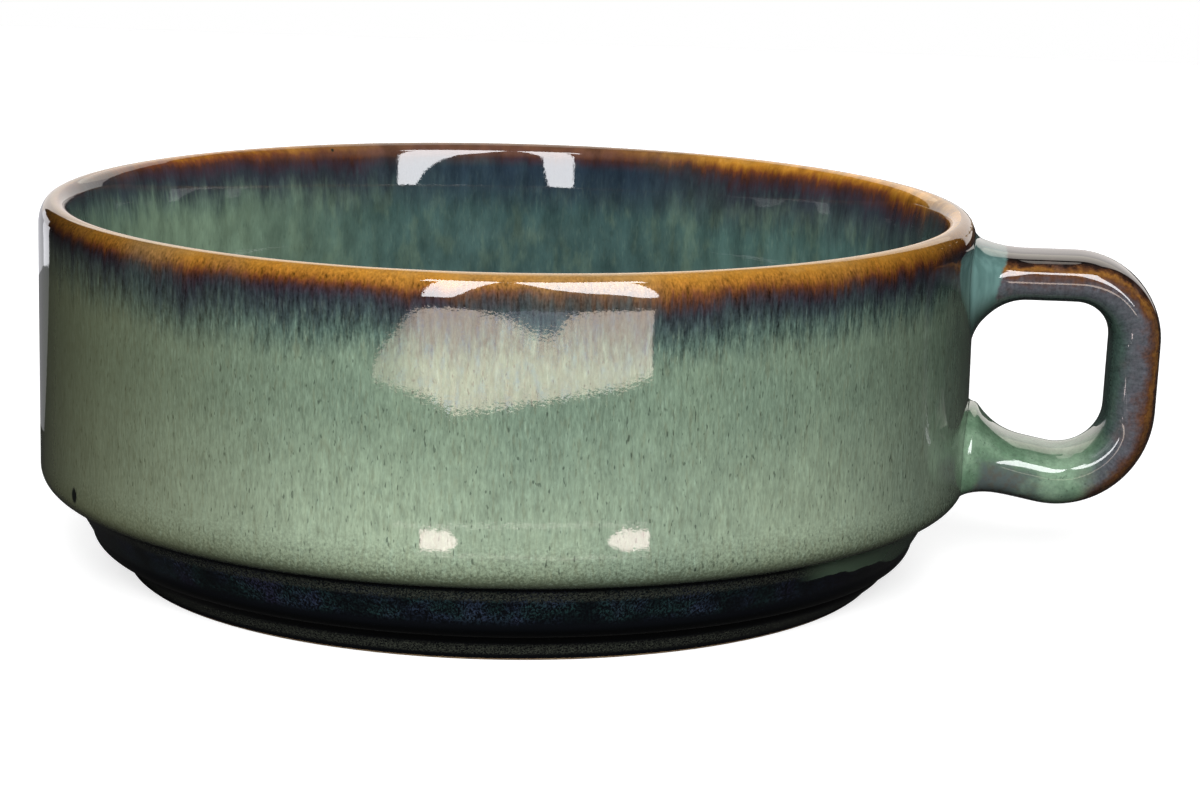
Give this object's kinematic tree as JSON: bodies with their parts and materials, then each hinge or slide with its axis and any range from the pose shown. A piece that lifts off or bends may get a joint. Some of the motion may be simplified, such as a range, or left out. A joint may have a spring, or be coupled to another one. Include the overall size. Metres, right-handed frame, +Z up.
{
  "type": "stacking soup mug",
  "caption": "Wide, low stoneware soup mug with a loop handle, a rounded shoulder and a stepped foot that stands in the mouth of the mug below.",
  "frame": {"origin": "on the bowl's axis, in the plane of the table that the foot ring stands on", "axes": "+Z up along the bowl's axis, +X from the axis out through the middle of the handle, +Y to the left of the handle seen from above with the handle away"},
  "size_m": [0.1631, 0.136, 0.054],
  "materials": {
    "stoneware": "matte",
    "slip": "matte",
    "inside_glaze": "gloss",
    "outside_glaze": "gloss",
    "foot_glaze": "gloss",
    "underside_glaze": "gloss",
    "handle_glaze": "gloss"
  },
  "bodies": {
    "root": {"stoneware_bowl": "stoneware", "stoneware_handle": "stoneware", "upper_slip_joint": "slip", "lower_slip_joint": "slip", "inside_glaze": "inside_glaze", "outside_glaze": "outside_glaze", "foot_glaze": "foot_glaze", "underside_glaze": "underside_glaze", "handle_glaze": "handle_glaze"}
  },
  "joints": []
}
